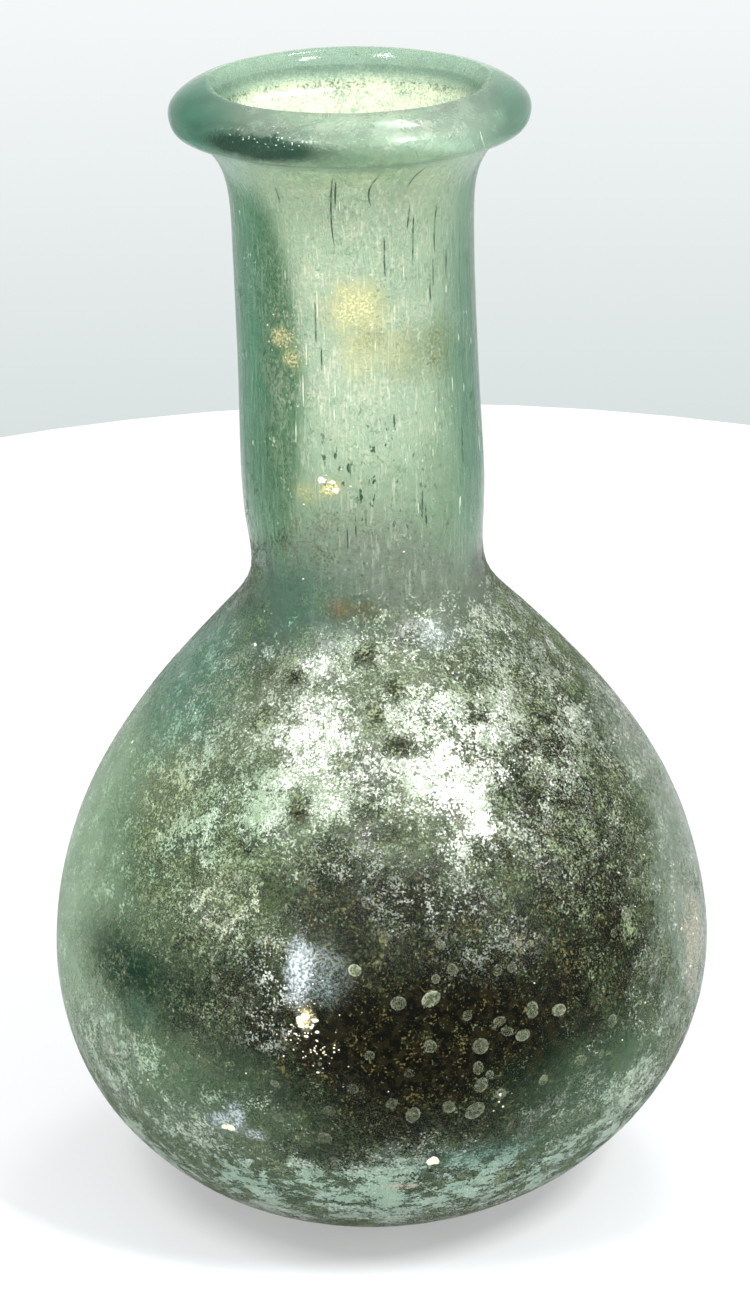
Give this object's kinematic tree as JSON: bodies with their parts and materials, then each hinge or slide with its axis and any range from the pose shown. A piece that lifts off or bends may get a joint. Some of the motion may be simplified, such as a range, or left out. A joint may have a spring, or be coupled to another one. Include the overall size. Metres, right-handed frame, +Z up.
{
  "type": "glass perfume flask",
  "caption": "Free-blown pear-shaped glass flask with a flat base, a long constricted neck and an out-folded rolled rim, open at the mouth and weathered.",
  "frame": {"origin": "centre of the flat underside of the base, on the surface the flask stands on", "axes": "+Z up along the neck, -Y towards the front, the side that carries the dark deposit, +X to the right seen from the front"},
  "size_m": [0.0575, 0.0576, 0.1],
  "materials": {
    "sea_green_glass": "translucent sea-green blown glass, glossy at the rim and clouded by weathering, with silvery scale and brown earth on the body"
  },
  "bodies": {
    "root": {"flask": "sea_green_glass"}
  },
  "joints": []
}
